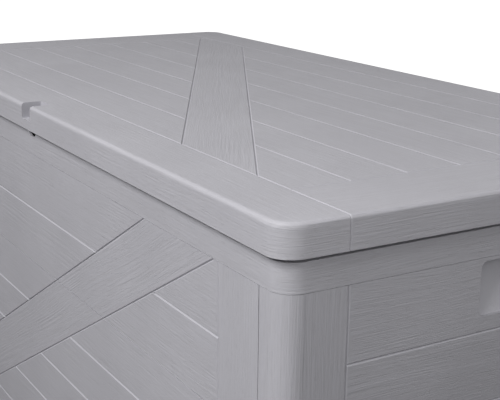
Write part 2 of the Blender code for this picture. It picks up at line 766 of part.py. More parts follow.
def make_lid():
    lid = outline("lid", HALF_X, HALF_Y, LID_CORNER, LID_BOTTOM, HEIGHT, edge=LID_EDGE)
    hollow = outline(
        "hollow", HALF_X - LID_WALL, HALF_Y - LID_WALL, LID_CORNER - LID_WALL,
        LID_BOTTOM - FAR, HEIGHT - LID_WALL, edge=LID_EDGE - LID_WALL,
    )
    inside = helpers_for("lid", "inside")
    as_helper(hollow, inside)
    boolean(lid, "DIFFERENCE", inside)
    cutters = lid_grooves() + [notch_space(), shackle_way(LID_BOTTOM, NOTCH_FLOOR + LID_WALL)]
    low_z, high_z = tube_levels()
    reach = HALF_X - TUBE_END_SPACE + GAP
    for side in (-1, 1):
        y = side * TUBE_OFFSET
        half = TUBE_SIDE / 2 + GAP
        high = (reach, y + half, high_z + GAP)
        cutters.append(block(f"tube_slot_{side}", (-reach, y - half, LID_BOTTOM), high))
    cutters += hinge_screw_holes(HALF_Y, arm_screw_height())
    assemble(lid, [*lid_ribs(), notch_shell()], cutters)
    as_part(lid, POLYPROPYLENE)


def make_lid_tubes():
    low_z, high_z = tube_levels()
    reach = HALF_X - TUBE_END_SPACE
    for side, name in ((-1, "front"), (1, "back")):
        y = side * TUBE_OFFSET
        half = TUBE_SIDE / 2
        tube = block(f"lid_stiffener_{name}", (-reach, y - half, low_z), (reach, y + half, high_z))
        low = (-reach - FAR, y - half + TUBE_WALL, low_z + TUBE_WALL)
        bore = block(f"{name}_bore", low, (reach + FAR, y + half - TUBE_WALL, high_z - TUBE_WALL))
        assemble(tube, cutters=[bore])
        as_part(tube, GALVANISED)


# ---------------------------------------------------------------- hinges

def knuckle_spans():
    """Where the bracket's two knuckles and the arm's one lie along the pin."""
    half = HINGE_WIDTH / 2
    inner = KNUCKLE / 2
    return [(-half, -inner - KNUCKLE_GAP), (inner + KNUCKLE_GAP, half)], (-inner, inner)


def pin_bore(x, label):
    start = (x - HINGE_WIDTH, HINGE_Y, HINGE_Z)
    return rod(f"pin_bore_{label}", PIN_RADIUS + GAP, start, (x + HINGE_WIDTH, HINGE_Y, HINGE_Z))


def make_hinge_bracket(x, label):
    """The fixed half: a leaf on the rim, two knuckles, and the lugs that stop the open lid."""
    leaf_y = (BODY_Y + GAP, BODY_Y + GAP + HINGE_LEAF)
    half = HINGE_WIDTH / 2
    low = (x - half, leaf_y[0], RIM_BOTTOM + LEAF_MARGIN)
    bracket = block(f"hinge_bracket_{label}", low, (x + half, leaf_y[1], HINGE_Z))
    additions = []
    for i, (start, end) in enumerate(knuckle_spans()[0]):
        start, end = x + start, x + end
        line = [(start, HINGE_Y, HINGE_Z), (end, HINGE_Y, HINGE_Z)]
        additions.append(rod(f"knuckle_{label}_{i}", HINGE_BARREL, *line, sides=BARREL_SIDES))
        low = (start, leaf_y[0] + HINGE_LEAF / 2, HINGE_Z - HINGE_BARREL)
        additions.append(block(f"web_{label}_{i}", low, (end, HINGE_Y, HINGE_Z - KNUCKLE_GAP)))
        low = (start, HINGE_Y - STOP_ROOT, HINGE_Z - HINGE_BARREL - STOP_ROOT)
        high = (end, HINGE_Y + STOP_REACH, HINGE_Z - STOP_DROP)
        additions.append(block(f"stop_{label}_{i}", low, high))
    height = bracket_screw_height()
    cutters = [pin_bore(x, label)]
    for i, point in enumerate(hinge_screw_points(x, BODY_Y, height)):
        line = [(point[0], BODY_Y - NEAR, height), (point[0], HINGE_Y, height)]
        cutters.append(rod(f"leaf_hole_{label}_{i}", SHANK_RADIUS + GAP, *line, sides=HOLE_SIDES))
    assemble(bracket, additions, cutters)
    as_part(bracket, HINGE_NYLON)


def make_hinge_arm(x, label):
    """The half that turns with the lid: a leaf on its skirt and one knuckle round the pin."""
    leaf_y = (HALF_Y + GAP, HALF_Y + GAP + HINGE_LEAF)
    half = HINGE_WIDTH / 2
    arm = block(f"hinge_arm_{label}", (x - half, leaf_y[0], arm_bottom()), (x + half, leaf_y[1], arm_top()))
    start, end = (x + offset for offset in knuckle_spans()[1])
    line = [(start, HINGE_Y, HINGE_Z), (end, HINGE_Y, HINGE_Z)]
    knuckle = rod(f"arm_knuckle_{label}", HINGE_BARREL, *line, sides=BARREL_SIDES)
    low = (start, leaf_y[0], HINGE_Z)
    neck = block(f"arm_neck_{label}", low, (end, leaf_y[1], arm_bottom() + HINGE_LEAF))
    cutters = [pin_bore(x, f"arm_{label}")]
    for i, point in enumerate(hinge_screw_points(x, HALF_Y, arm_screw_height())):
        line = [(point[0], HALF_Y - NEAR, point[2]), (point[0], HALF_Y + NEAR, point[2])]
        cutters.append(rod(f"arm_hole_{label}_{i}", SHANK_RADIUS + GAP, *line, sides=HOLE_SIDES))
    assemble(arm, [knuckle, neck], cutters)
    as_part(arm, HINGE_NYLON)


def make_hinge_pin(x, label):
    head_radius, head_height = PIN_HEAD
    seat = HINGE_WIDTH / 2 + GAP
    tail = 2 * seat + PIN_TAIL
    profile = [
        (0.0, head_height),
        (head_radius * 0.8, head_height),
        (head_radius, head_height * 0.6),
        (head_radius, 0.0),
        (PIN_RADIUS, 0.0),
        (PIN_RADIUS, PIN_CHAMFER - tail),
        (PIN_RADIUS * 0.7, -tail),
        (0.0, -tail),
    ]
    pin = turned(f"hinge_pin_{label}", profile, (x + seat, HINGE_Y, HINGE_Z), (1, 0, 0))
    as_part(pin, STAINLESS)


def make_hinge_screws(x, label):
    places = (
        ("bracket", BODY_Y + GAP + HINGE_LEAF, bracket_screw_height()),
        ("arm", HALF_Y + GAP + HINGE_LEAF, arm_screw_height()),
    )
    for half, face, height in places:
        for side, point in zip(("a", "b"), hinge_screw_points(x, face + GAP, height)):
            name = f"hinge_{half}_screw_{label}_{side}"
            as_part(turned(name, screw_profile(SCREW_LENGTH), point, (0, 1, 0)), STAINLESS)


def make_hinges():
    for label, x in hinge_centres():
        make_hinge_bracket(x, label)
        make_hinge_arm(x, label)
        make_hinge_pin(x, label)
        make_hinge_screws(x, label)


# ---------------------------------------------------------------- the lid turns about the hinge pins

def hang_lid_on_hinge():
    axis = bpy.data.objects.new("lid_hinge_axis", None)
    PARTS.objects.link(axis)
    axis.location = (0, HINGE_Y, HINGE_Z)
    bpy.context.view_layer.update()
    turning = ("lid", "hinge_arm_", "hinge_arm_screw_")
    for obj in PARTS.objects:
        if obj is axis or not obj.name.startswith(turning):
            continue
        obj.parent = axis
        obj.matrix_parent_inverse = axis.matrix_world.inverted()
    limit = axis.constraints.new("LIMIT_ROTATION")
    limit.owner_space = "LOCAL"
    limit.use_limit_x = True
    limit.min_x = -math.radians(OPEN_ANGLE)
    limit.max_x = 0.0


make_base_tray()
make_wall_panels()
make_end_panels()
make_rim()
make_lid()
make_lid_tubes()
make_panel_screws()
make_hinges()
hang_lid_on_hinge()
bpy.context.view_layer.update()
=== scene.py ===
"""A moulded deck storage box with a hinged lid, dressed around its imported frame. Metres, +Z up.

Every moulded piece starts from its own CAD solid: the flat facets of its corners are made round, and the
face of each board is cut into fine strips that follow the board's own grain and are pressed in, so that the
wood grain is real relief. Screws and hinge pins are made by Geometry Nodes, where the CAD has plain ones.
"""
import math
import random

import bmesh
import bpy
from mathutils import Matrix, Vector, noise


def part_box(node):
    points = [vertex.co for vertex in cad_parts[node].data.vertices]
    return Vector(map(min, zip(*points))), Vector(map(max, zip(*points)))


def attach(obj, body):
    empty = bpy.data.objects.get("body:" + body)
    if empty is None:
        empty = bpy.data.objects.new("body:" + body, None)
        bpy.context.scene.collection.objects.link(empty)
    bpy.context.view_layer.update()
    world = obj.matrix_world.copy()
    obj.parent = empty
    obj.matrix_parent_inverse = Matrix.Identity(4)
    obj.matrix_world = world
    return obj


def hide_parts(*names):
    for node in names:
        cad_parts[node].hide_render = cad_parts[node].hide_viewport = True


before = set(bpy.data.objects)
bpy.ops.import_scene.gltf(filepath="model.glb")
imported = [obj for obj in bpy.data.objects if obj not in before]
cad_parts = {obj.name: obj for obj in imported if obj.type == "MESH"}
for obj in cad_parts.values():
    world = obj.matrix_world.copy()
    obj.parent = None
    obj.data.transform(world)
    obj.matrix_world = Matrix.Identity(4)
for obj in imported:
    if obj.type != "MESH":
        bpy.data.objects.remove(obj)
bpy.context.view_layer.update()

# ---------------------------------------------------------------- sizes, in metres

LID_LOW, LID_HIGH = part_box("lid")
RIM_LOW, RIM_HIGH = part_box("top_rim")
HALF_X, HALF_Y = LID_HIGH.x, -LID_LOW.y
BODY_X, BODY_Y = RIM_HIGH.x, -RIM_LOW.y
HEIGHT = LID_HIGH.z
BAND_DROP = 0.078                 # from the top down to where the band ends and the boards start
RIM_BOTTOM = HEIGHT - BAND_DROP
PANEL_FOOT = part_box("end_panel_right")[0].z
POST_WIDTH = 0.045                # how far a corner post reaches round on to the front
SEAM_X = BODY_X - POST_WIDTH
LID_CORNER = 0.031
LID_EDGE = 0.0055
BODY_CORNER = 0.027

# Boards drawn on the lid
LID_END_BOARD = 0.112             # width of the board along each end
LID_BORDER = 0.083                # and of those along the front and back
LID_FIELD_X = HALF_X - LID_END_BOARD
LID_FIELD_Y = HALF_Y - LID_BORDER
LID_BOARDS = 7
LID_BRACE = (0.092, 0.562, -0.0475)     # width, slope and sideways shift

# Boards drawn on the body
UPPER_BOARD = 0.0893
LOWER_BOARD = 0.0760
SPLIT_Z = RIM_BOTTOM - 2 * UPPER_BOARD
UPRIGHT_BOARD = 0.086             # width of the upright board beside each corner post
END_POST_BOARD = 0.081            # and of the upright at each side of an end
FIELD_X = SEAM_X - UPRIGHT_BOARD
FIELD_MIDDLE = (RIM_BOTTOM + PANEL_FOOT) / 2
BODY_BRACE = (0.088, 0.5675)            # width and slope
POST_Y = BODY_Y - END_POST_BOARD

# Moulded grain
GRAIN_PITCH = 0.0056              # from one ridge to the next
GRAIN_DEPTH = 0.00030
BOLD_GRAIN_DEPTH = 0.00052        # on braces and corner posts, where the figure is strongest
BOLD_BOARDS = ("brace", "post", "upright")
STRIP = 0.00125                   # strips across the grain, four or five to a ridge
STRIP_LENGTH = 0.032
ARC_STRIP = math.radians(3.6)     # round a corner where the grain runs level
FIGURE_SWING = 0.046              # how far growth rings stray sideways, and over what length and width
FIGURE_LENGTH = 0.330
FIGURE_WIDTH = 0.058
WANDER = 0.30                     # how far a single ridge strays, in ridges, and over what size
WANDER_LENGTH = 0.085
WANDER_WIDTH = 0.013
PATCH_LENGTH = 0.210              # patches of stronger and fainter grain
PATCH_WIDTH = 0.024
FAINTEST_GRAIN = 0.15             # as a share of the full depth

FLAT = 0.0001                     # how near a face is to the outline to count as on it
SAGITTA = 0.0006                  # how far inside a round corner its flat facets may lie
MERGE = 0.000004
SHARP = math.radians(28)

# Fastenings that stand for the plain ones of the frame
HEAD_HEIGHT = 0.0024
HEAD_RIM_SHARE = 0.45                # how much of a screw's head is its straight rim
SHANK_RADIUS = 0.0020
PIN_HEAD = 0.0020
PIN_RADIUS = 0.0025

# Where a softened edge starts, from its sharp corner
NYLON_EDGE = 0.0005
TUBE_EDGE = 0.0010
TRAY_EDGE = 0.0006

CAMERA_PLACE = (1.5603, -0.8944, 0.9380)
CAMERA_AZIMUTH = math.radians(59.24)
CAMERA_ELEVATION = math.radians(15.38)
CAMERA_ROLL = math.radians(0.60)
CAMERA_LENS = 77.9


# ---------------------------------------------------------------- nodes and materials

def linear(hex_colour):
    """An sRGB hex colour as linear RGBA."""
    parts = [int(hex_colour[i:i + 2], 16) / 255 for i in (1, 3, 5)]
    parts = [c / 12.92 if c <= 0.04045 else ((c + 0.055) / 1.055) ** 2.4 for c in parts]
    return (*parts, 1.0)


def add(tree, kind, inputs=None, **settings):
    """A node with its settings, and its inputs set or linked by name or number."""
    made = tree.nodes.new(kind)
    for key, value in settings.items():
        setattr(made, key, value)
    for key, value in (inputs or {}).items():
        if isinstance(value, bpy.types.NodeSocket):
            tree.links.new(value, made.inputs[key])
        else:
            made.inputs[key].default_value = value
    return made


def new_material(name, principled):
    """A material with a Principled shader; returns the material, its tree and the shader."""
    material = bpy.data.materials.new(name)
    material.use_nodes = True
    tree = material.node_tree
    tree.nodes.clear()
    shader = add(tree, "ShaderNodeBsdfPrincipled", principled)
    add(tree, "ShaderNodeOutputMaterial", {"Surface": shader.outputs[0]})
    return material, tree, shader


def maths(tree, operation, a, b=0.0):
    return add(tree, "ShaderNodeMath", {0: a, 1: b}, operation=operation).outputs[0]


def moulded_polypropylene():
    """Polypropylene, injection moulded in a tool etched with wood grain: a light grey, satin, with fine
    lines along each board, short pores, and a faint spark-eroded texture on the plain faces too."""
    material, tree, shader = new_material(
        "moulded_polypropylene_light_grey",
        {"IOR": 1.49, "Specular IOR Level": 0.42},
    )
    grain = add(tree, "ShaderNodeAttribute", attribute_name="grain")
    textured = add(tree, "ShaderNodeAttribute", attribute_name="textured").outputs["Fac"]
    place = add(tree, "ShaderNodeTexCoord").outputs["Object"]
    parts = add(tree, "ShaderNodeSeparateXYZ", {0: grain.outputs["Vector"]}).outputs

    # Growth figure: lines stray about 12 mm over a board's width
    broad = add(tree, "ShaderNodeVectorMath", {0: grain.outputs["Vector"], 1: (3.0, 17.0, 1.0)},
                operation="MULTIPLY").outputs[0]
    sway = add(tree, "ShaderNodeTexNoise", {"Vector": broad, "Scale": 1.0, "Detail": 1.0}).outputs[0]
    across = maths(tree, "MULTIPLY_ADD", sway, 0.024)
    tree.links.new(parts[1], across.node.inputs[2])

    # Lines about 1.6 mm apart that run 60 mm or more
    line_place = add(tree, "ShaderNodeCombineXYZ", {
        0: maths(tree, "MULTIPLY", parts[0], 12.0),
        1: maths(tree, "MULTIPLY", across, 620.0),
        2: parts[2]}).outputs[0]
    lines = add(tree, "ShaderNodeTexNoise", {"Vector": line_place, "Scale": 1.0, "Detail": 2.5,
                                              "Roughness": 0.62}).outputs[0]
    # Pores 0.7 mm wide and some 15 mm long
    pore_place = add(tree, "ShaderNodeCombineXYZ", {
        0: maths(tree, "MULTIPLY", parts[0], 70.0),
        1: maths(tree, "MULTIPLY", across, 1500.0),
        2: parts[2]}).outputs[0]
    pores = add(tree, "ShaderNodeTexNoise", {"Vector": pore_place, "Scale": 1.0, "Detail": 1.0}).outputs[0]
    pore_cut = add(tree, "ShaderNodeMapRange", {0: pores, 1: 0.58, 2: 0.70, 3: 0.0, 4: 1.0}).outputs[0]

    # Height of the etched grain, and the spark-eroded texture, 0.4 mm across
    height = maths(tree, "SUBTRACT", lines, maths(tree, "MULTIPLY", pore_cut, 0.30))
    depth = maths(tree, "MULTIPLY", height, textured)
    spark = add(tree, "ShaderNodeTexNoise", {"Vector": place, "Scale": 2400.0, "Detail": 2.0}).outputs[0]
    fine = add(tree, "ShaderNodeBump", {"Height": spark, "Strength": 0.30, "Distance": 0.00010}).outputs[0]
    bump = add(tree, "ShaderNodeBump", {"Height": depth, "Strength": 0.75, "Distance": 0.00060,
                                        "Normal": fine}).outputs[0]

    # Colour: the pigment's clouding, with painted shade darkening the low parts of the grain lines
    cloud = add(tree, "ShaderNodeTexNoise", {"Vector": place, "Scale": 7.0, "Detail": 3.0}).outputs[0]
    shade = add(tree, "ShaderNodeMapRange", {0: cloud, 1: 0.3, 2: 0.7, 3: 0.0, 4: 1.0}).outputs[0]
    body = add(tree, "ShaderNodeMix", {0: shade, 6: linear("#ABAAB0"), 7: linear("#B0AFB5")},
               data_type="RGBA").outputs[2]
    # Painted shade: on textured faces the colour is mixed towards a darker grey where the grain lines are
    # low, as if shaded in their recesses
    grain_recess_shade_amount = maths(tree, "MULTIPLY", maths(tree, "SUBTRACT", 0.62, lines), 0.55)
    painted_recess_shade = maths(tree, "MULTIPLY", grain_recess_shade_amount, textured)
    recess_shaded_colour = add(tree, "ShaderNodeMix", {0: painted_recess_shade, 6: body, 7: linear("#8E8A8A")},
               data_type="RGBA", clamp_factor=True).outputs[2]
    rough = add(tree, "ShaderNodeMapRange", {0: lines, 1: 0.3, 2: 0.7, 3: 0.58, 4: 0.46}).outputs[0]
    for socket, value in (("Base Color", recess_shaded_colour), ("Roughness", rough), ("Normal", bump)):
        tree.links.new(value, shader.inputs[socket])
    return material


def plain_plastic(name, light, dark, roughness):
    """A moulded plastic with a fine matt texture, 0.5 mm across, and a faint cloudiness of colour."""
    material, tree, shader = new_material(name, {"IOR": 1.50})
    place = add(tree, "ShaderNodeTexCoord").outputs["Object"]
    cloud = add(tree, "ShaderNodeTexNoise", {"Vector": place, "Scale": 22.0, "Detail": 3.0}).outputs[0]
    colour = add(tree, "ShaderNodeMix", {0: cloud, 6: linear(dark), 7: linear(light)},
                 data_type="RGBA").outputs[2]
    rough = add(tree, "ShaderNodeMapRange", {0: cloud, 3: roughness - 0.05, 4: roughness + 0.05}).outputs[0]
    spark = add(tree, "ShaderNodeTexNoise", {"Vector": place, "Scale": 2000.0, "Detail": 2.0}).outputs[0]
    bump = add(tree, "ShaderNodeBump", {"Height": spark, "Strength": 0.35, "Distance": 0.00012}).outputs[0]
    for socket, value in (("Base Color", colour), ("Roughness", rough), ("Normal", bump)):
        tree.links.new(value, shader.inputs[socket])
    return material


def galvanised_steel():
    """Hot-dip galvanised tube: a dull zinc grey with spangle, crystals some 8 mm across."""
    material, tree, shader = new_material("galvanised_steel_spangled", {"Metallic": 1.0})
    place = add(tree, "ShaderNodeTexCoord").outputs["Object"]
    crystal = add(tree, "ShaderNodeTexVoronoi", {"Vector": place, "Scale": 120.0}).outputs["Color"]
    tone = add(tree, "ShaderNodeSeparateColor", {0: crystal}).outputs[0]
    colour = add(tree, "ShaderNodeMix", {0: tone, 6: linear("#9DA1A4"), 7: linear("#C2C6C8")},
                 data_type="RGBA").outputs[2]
    rough = add(tree, "ShaderNodeMapRange", {0: tone, 3: 0.34, 4: 0.52}).outputs[0]
    tree.links.new(colour, shader.inputs["Base Color"])
    tree.links.new(rough, shader.inputs["Roughness"])
    return material


def stainless_steel():
    """Turned stainless steel: bright, with turning marks 0.3 mm apart that blur its reflections."""
    material, tree, shader = new_material("stainless_steel_turned", {"Metallic": 1.0})
    place = add(tree, "ShaderNodeTexCoord").outputs["Object"]
    marks = add(tree, "ShaderNodeTexNoise", {"Vector": place, "Scale": 3300.0, "Detail": 1.0}).outputs[0]
    colour = add(tree, "ShaderNodeMix", {0: marks, 6: linear("#B9B7B2"), 7: linear("#D2D0CC")},
                 data_type="RGBA").outputs[2]
    rough = add(tree, "ShaderNodeMapRange", {0: marks, 3: 0.22, 4: 0.38}).outputs[0]
    tree.links.new(colour, shader.inputs["Base Color"])
    tree.links.new(rough, shader.inputs["Roughness"])
    return material


# ---------------------------------------------------------------- boards and their grain

LEVEL, UPRIGHT = (1.0, 0.0), (0.0, 1.0)     # which way a board's grain runs on its face


def slanted(rise):
    """The direction of a brace that climbs by rise for each unit along."""
    length = math.hypot(1.0, rise)
    return 1.0 / length, rise / length


def half_width(width, slope):
    """Half of a brace's width, measured level."""
    return width / 2 * math.hypot(1.0, slope) / slope


def lid_board(x, y):
    """The board of the lid's top at a point, and the way its grain runs."""
    width, slope, shift = LID_BRACE
    if abs(y) > LID_FIELD_Y:
        return ("border", y > 0), LEVEL
    if abs(x) > LID_FIELD_X:
        return ("end", x > 0), UPRIGHT
    offset = x - (shift - y / slope)
    if abs(offset) < half_width(width, slope):
        return ("brace",), slanted(-slope)
    row = int((y + LID_FIELD_Y) / (2 * LID_FIELD_Y / LID_BOARDS))
    return ("board", row, offset > 0), LEVEL


def board_row(z):
    """Which level board of the body a height is in, from the rim down."""
    if z > SPLIT_Z:
        return int((RIM_BOTTOM - z) / UPPER_BOARD)
    return 2 + int((SPLIT_Z - z) / LOWER_BOARD)


def wall_board(x, z, turn):
    """The board of the front or back at a point. turn is 1 on the front, -1 on the back."""
    width, slope = BODY_BRACE
    if abs(x) > FIELD_X:
        return ("upright", x > 0, abs(x) > SEAM_X), UPRIGHT
    offset = x * turn - (z - FIELD_MIDDLE) / slope
    if abs(offset) < half_width(width, slope):
        return ("brace", z > SPLIT_Z), slanted(slope * turn)
    return ("board", board_row(z), offset > 0), LEVEL


def end_board(y, z):
    """The board of an end at a point, and the way its grain runs."""
    if abs(y) > POST_Y:
        return ("upright", y > 0), UPRIGHT
    return ("board", board_row(z)), LEVEL


class Outline:
    """A rounded rectangle seen from above, which the outer faces of a piece follow."""

    def __init__(self, half_x, half_y, corner, top):
        self.half_x, self.half_y, self.corner, self.top = half_x, half_y, corner, top
        self.centre_x, self.centre_y = half_x - corner, half_y - corner

    def zone(self, centre, normal):
        """Which outer face a point is on: top, front, back, right, left or a corner. None if inside."""
        x, y = centre.x, centre.y
        if normal.z > 0.999 and centre.z > self.top - FLAT:
            return ("top",)
        if abs(normal.z) > 0.01:
            return None
        if abs(y) > self.half_y - FLAT and normal.y * y > 0.9 * abs(y):
            return ("back",) if y > 0 else ("front",)
        if abs(x) > self.half_x - FLAT and normal.x * x > 0.9 * abs(x):
            return ("right",) if x > 0 else ("left",)
        over_x, over_y = abs(x) - self.centre_x, abs(y) - self.centre_y
        if over_x > 0 and over_y > 0 and math.hypot(over_x, over_y) > self.corner - SAGITTA:
            if normal.x * x + normal.y * y > 0:
                return ("corner", x > 0, y > 0)
        return None

    def around(self, point, on_back):
        """How far round the outline a point is, from the middle of the front."""
        x, y = abs(point.x), point.y
        side = 1.0 if point.x > 0 else -1.0
        quarter = self.corner * math.pi / 2
        over_x = max(x - self.centre_x, 0.0)
        if on_back:
            return 2 * (self.centre_x + self.centre_y + quarter) - point.x
        if y < -self.centre_y:
            turn = math.atan2(over_x, -y - self.centre_y)
            return side * (min(x, self.centre_x) + self.corner * turn)
        along = self.centre_x + quarter + min(y, self.centre_y) + self.centre_y
        if y > self.centre_y:
            along += self.corner * math.atan2(y - self.centre_y, over_x)
        return side * along

    def corner_centre(self, zone):
        """The middle of a corner's arc, at the height of the ground."""
        return Vector((self.centre_x if zone[1] else -self.centre_x,
                       self.centre_y if zone[2] else -self.centre_y, 0.0))


def seed_of(*key):
    """A fixed number for each board, so that no two have the same grain."""
    return random.Random(str(key)).uniform(0.0, 60.0)


def flat_place(outline, zone, point):
    """A point's place on its outer face, as (across the face, up or back)."""
    if zone == ("top",):
        return point.x, point.y
    return outline.around(point, zone == ("back",)), point.z


def grain_place(outline, zone, direction, seed, point):
    """A point's place in its board's grain: along it, across it, and the board's own number."""
    a, b = flat_place(outline, zone, point)
    return Vector((a * direction[0] + b * direction[1], b * direction[0] - a * direction[1], seed))


def relief(place, depth):
    """How deep the grain is pressed in at a place in a board."""
    along, across, seed = place
    figure = noise.noise((along / FIGURE_LENGTH, across / FIGURE_WIDTH, seed))
    wander = noise.noise((along / WANDER_LENGTH, across / WANDER_WIDTH, seed + 7.0))
    ring = (across + FIGURE_SWING * figure) / GRAIN_PITCH + WANDER * wander
    patch = 0.62 + 0.50 * noise.noise((along / PATCH_LENGTH, across / PATCH_WIDTH, seed + 20.0))
    ridge = 0.5 + 0.5 * math.cos(2 * math.pi * ring)
    return depth * min(max(patch, FAINTEST_GRAIN), 1.0) * ridge


# ---------------------------------------------------------------- moulded pieces

def merged_copy(node):
    """A clean editable copy of a CAD node: triangles welded, and flat faces made whole again."""
    bm = bmesh.new()
    bm.from_mesh(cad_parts[node].data)
    bmesh.ops.remove_doubles(bm, verts=bm.verts, dist=MERGE)
    bmesh.ops.dissolve_limit(bm, angle_limit=math.radians(0.2), verts=bm.verts, edges=bm.edges)
    bm.normal_update()
    return bm


def as_piece(mesh, body, nodes):
    """Makes a finished mesh a piece that rides on a body and stands for some CAD nodes."""
    mesh.shade_smooth()
    mesh.set_sharp_from_angle(angle=SHARP)
    piece = bpy.data.objects.new(mesh.name, mesh)
    bpy.context.scene.collection.objects.link(piece)
    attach(piece, body)
    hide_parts(*nodes)


def finished_piece(bm, name, body, material, nodes):
    """Turns an edited copy of a CAD node into a piece, without the facets' own shading."""
    mesh = bpy.data.meshes.new(name)
    bm.to_mesh(mesh)
    bm.free()
    facets = mesh.attributes.get("custom_normal")
    if facets:
        mesh.attributes.remove(facets)
    mesh.materials.clear()
    mesh.materials.append(material)
    as_piece(mesh, body, nodes)


def sliced(bm, geometry, planes):
    """The geometry cut along each (point, normal) plane."""
    for point, normal in planes:
        cut = bmesh.ops.bisect_plane(bm, geom=geometry, dist=MERGE, plane_co=point, plane_no=normal)
        geometry = cut["geom"]
    return geometry


def level_planes(points, axis, step):
    """Planes square to an axis, a step apart, through a set of points."""
    reach = [point.dot(axis) for point in points]
    first, last = math.ceil(min(reach) / step), math.floor(max(reach) / step)
    return [(axis * (i * step), axis) for i in range(first, last + 1)]


def corner_planes(centre, zone, step):
    """Planes through a corner's upright axis, a step of turn apart."""
    count = round(math.pi / 2 / step)
    side_x, side_y = (1 if zone[1] else -1), (1 if zone[2] else -1)
    planes = []
    for i in range(count + 1):
        angle = math.pi / 2 * i / count
        planes.append((centre, Vector((-side_x * math.sin(angle), side_y * math.cos(angle), 0.0))))
    return planes


def face_axes(zone):
    """The two axes of a flat outer face, as flat_place gives them."""
    if zone[0] == "top":
        return Vector((1, 0, 0)), Vector((0, 1, 0))
    if zone[0] in ("front", "back"):
        return Vector((1 if zone[0] == "front" else -1, 0, 0)), Vector((0, 0, 1))
    return Vector((0, 1 if zone[0] == "right" else -1, 0)), Vector((0, 0, 1))


def grain_planes(outline, zone, direction, points):
    """Cuts for one board: a few across its length, then many along its grain."""
    if zone[0] == "corner":
        centre = outline.corner_centre(zone)
        up = Vector((0, 0, 1))
        if direction == UPRIGHT:
            fine = corner_planes(centre, zone, STRIP / outline.corner)
            return level_planes(points, up, STRIP_LENGTH) + fine
        return corner_planes(centre, zone, ARC_STRIP) + level_planes(points, up, STRIP)
    first, second = face_axes(zone)
    along = first * direction[0] + second * direction[1]
    across = second * direction[0] - first * direction[1]
    return level_planes(points, along, STRIP_LENGTH) + level_planes(points, across, STRIP)


def outward(outline, zone, point):
    """The way out of the piece at a point of its outer face."""
    if zone[0] == "top":
        return Vector((0, 0, 1))
    if zone[0] == "corner":
        away = point - outline.corner_centre(zone)
        away.z = 0.0
        return away.normalized()
    return {"front": Vector((0, -1, 0)), "back": Vector((0, 1, 0)),
            "right": Vector((1, 0, 0)), "left": Vector((-1, 0, 0))}[zone[0]]


def rounded_corner(outline, zone, verts):
    """Moves the points of a corner's flat facets out to its true arc."""
    centre = outline.corner_centre(zone)
    for vert in verts:
        away = Vector((vert.co.x - centre.x, vert.co.y - centre.y, 0.0))
        if away.length > outline.corner - SAGITTA:
            away = away.normalized() * outline.corner
            vert.co.x, vert.co.y = centre.x + away.x, centre.y + away.y


def mark_face(face, layers, outline, zone, direction, seed, strength):
    """Stores where a face lies in its board's grain, and how strongly it is textured."""
    grain, textured = layers
    face[textured] = strength
    for loop in face.loops:
        loop[grain] = grain_place(outline, zone, direction, seed, loop.vert.co)


def sorted_boards(bm, layers, outline, board_at):
    """The outer faces of each board. The other faces are marked here, as they aren't cut."""
    boards = {}
    for face in bm.faces:
        centre = face.calc_center_median()
        zone = outline.zone(centre, face.normal)
        if zone:
            key, direction = board_at(zone, centre)
            boards.setdefault((zone, key, direction), []).append(face)
        else:
            side = nearest_side(face.normal)
            key, direction = board_at(side, centre)
            strength = 1.0 if on_rounded_edge(outline, centre, face.normal) else 0.0
            mark_face(face, layers, outline, side, direction, seed_of(key), strength)
    return boards


def board_strips(bm, outline, zone, direction, faces):
    """A board's faces cut into fine strips that follow its grain, as all the geometry there."""
    points = [vert.co.copy() for face in faces for vert in face.verts]
    geometry = set(faces)
    for face in faces:
        geometry.update(face.edges)
        geometry.update(face.verts)
    return sliced(bm, list(geometry), grain_planes(outline, zone, direction, points))


def press_grain(bm, outline, board_at):
    """Cuts and presses each board's grain. board_at gives a face's board and its grain's direction."""
    layers = bm.loops.layers.float_vector.new("grain"), bm.faces.layers.float.new("textured")
    pressed = set()
    for (zone, key, direction), faces in sorted_boards(bm, layers, outline, board_at).items():
        seed = seed_of(key)
        depth = BOLD_GRAIN_DEPTH if any(name in key for name in BOLD_BOARDS) else GRAIN_DEPTH
        geometry = board_strips(bm, outline, zone, direction, faces)
        verts = [part for part in geometry if isinstance(part, bmesh.types.BMVert)]
        if zone[0] == "corner":
            rounded_corner(outline, zone, verts)
        for part in geometry:
            if isinstance(part, bmesh.types.BMFace):
                mark_face(part, layers, outline, zone, direction, seed, 1.0)
        for vert in verts:
            if vert not in pressed:
                pressed.add(vert)
                place = grain_place(outline, zone, direction, seed, vert.co)
                vert.co -= outward(outline, zone, vert.co) * relief(place, depth)
    bm.normal_update()


def nearest_side(normal):
    """The outer face that a face looks most like, by its normal."""
    if abs(normal.z) > 0.72:
        return ("top",)
    if abs(normal.x) > abs(normal.y):
        return ("right",) if normal.x > 0 else ("left",)
    return ("back",) if normal.y > 0 else ("front",)


def on_rounded_edge(outline, centre, normal):
    """Whether a face is part of the rounded edge round the lid's top."""
    near = abs(centre.x) > outline.half_x - LID_CORNER or abs(centre.y) > outline.half_y - LID_CORNER
    return near and normal.z > 0.05 and outline.top - LID_EDGE - FLAT < centre.z < outline.top - FLAT


def lid_layout(zone, centre):
    """The board of the lid at a point of its top or its skirt, and the way its grain runs."""
    if zone[0] == "top":
        return lid_board(centre.x, centre.y)
    return ("border", centre.y > 0) if abs(centre.y) > LID_FIELD_Y else ("end", centre.x > 0), LEVEL


def band_layout(zone, centre):
    """The rim's band is one level board all the way round."""
    return ("band",), LEVEL


def wall_layout(zone, centre):
    """The board of a wall, an end or a corner post at a point, and the way its grain runs."""
    if zone[0] == "corner":
        return ("post", zone[1], zone[2]), UPRIGHT
    if zone[0] in ("front", "back"):
        key, direction = wall_board(centre.x, centre.z, 1 if zone[0] == "front" else -1)
        return (zone[0], *key), (direction if zone[0] == "front" else (direction[0], -direction[1]))
    key, direction = end_board(centre.y, centre.z)
    return (zone[0], *key), direction


